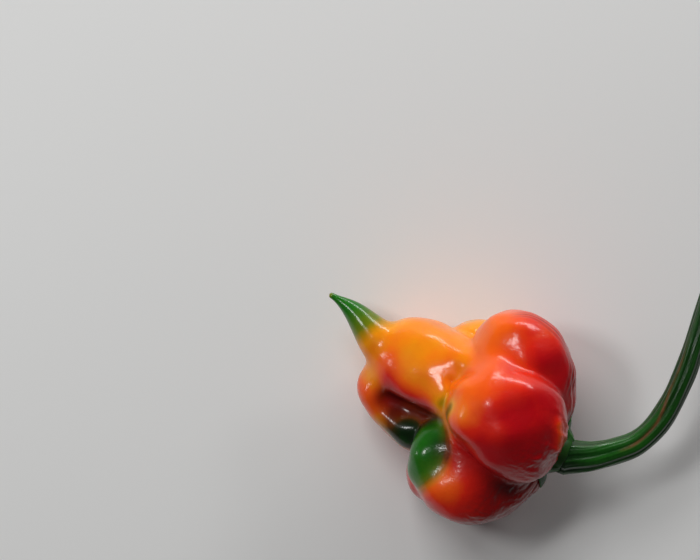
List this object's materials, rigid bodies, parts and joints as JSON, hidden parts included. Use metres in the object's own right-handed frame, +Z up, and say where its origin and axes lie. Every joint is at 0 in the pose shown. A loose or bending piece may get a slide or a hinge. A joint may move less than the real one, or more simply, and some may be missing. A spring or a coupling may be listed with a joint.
{
  "type": "trinidad scorpion pepper",
  "caption": "Ripening lobed chilli pod lying on its side, with a thin curved stinger tail, a ragged sepal cap and a bent stem.",
  "frame": {"origin": "centre of the bounding box, on the surface that the pepper rests on", "axes": "+Z up out of that surface, +X along the long side of the box towards the stem, and the stinger tail points to -X and a little to +Y"},
  "size_m": [0.0754, 0.0462, 0.0348],
  "materials": {
    "pod_skin": "glossy waxy skin, green tail through orange to deep red",
    "sepal": "dull green with pale ribs",
    "stem": "ridged green with a brownish streak"
  },
  "bodies": {
    "root": {"pod": "pod_skin", "calyx": "sepal", "stem": "stem"}
  },
  "joints": []
}
